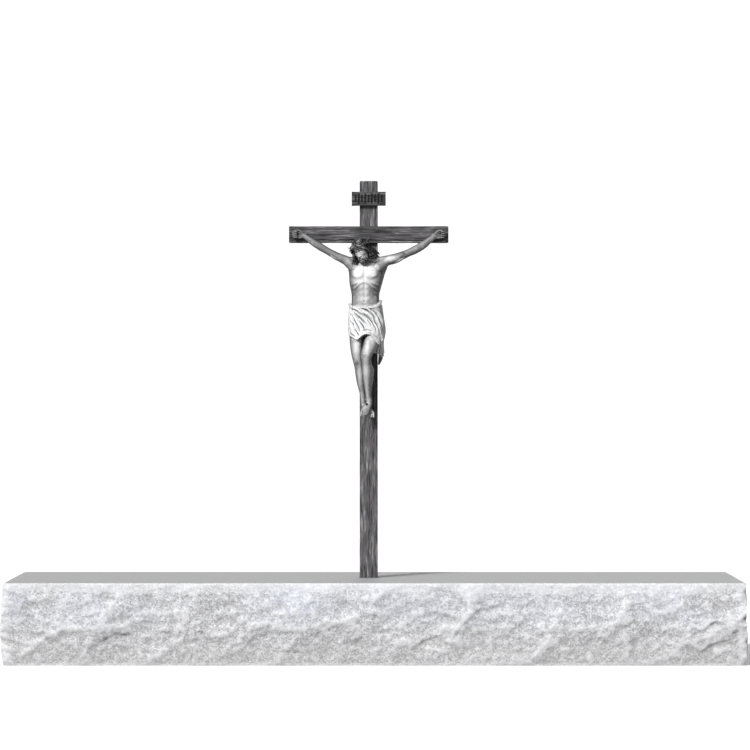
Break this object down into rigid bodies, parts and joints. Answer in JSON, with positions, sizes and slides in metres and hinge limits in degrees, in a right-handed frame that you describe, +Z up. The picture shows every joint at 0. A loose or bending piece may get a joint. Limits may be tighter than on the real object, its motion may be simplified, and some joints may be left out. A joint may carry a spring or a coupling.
{
  "type": "cross memorial",
  "caption": "Slim timber crucifix with a carved hanging figure, standing in a long low granite plinth with rock-pitched faces and a sawn top.",
  "frame": {"origin": "middle of the plinth's underside", "axes": "+X to the right across the front, +Y to the back, +Z up; the figure looks along -Y"},
  "size_m": [1.3902, 0.3802, 0.907],
  "materials": {
    "granite": "matte",
    "timber": "matte",
    "painted_carving": "satin",
    "iron": "satin"
  },
  "bodies": {
    "root": {"plinth": "granite", "post": "timber", "beam": "timber", "name_board": "timber", "figure": "painted_carving", "nail_left_hand": "iron", "nail_right_hand": "iron", "nail_feet": "iron"}
  },
  "joints": []
}
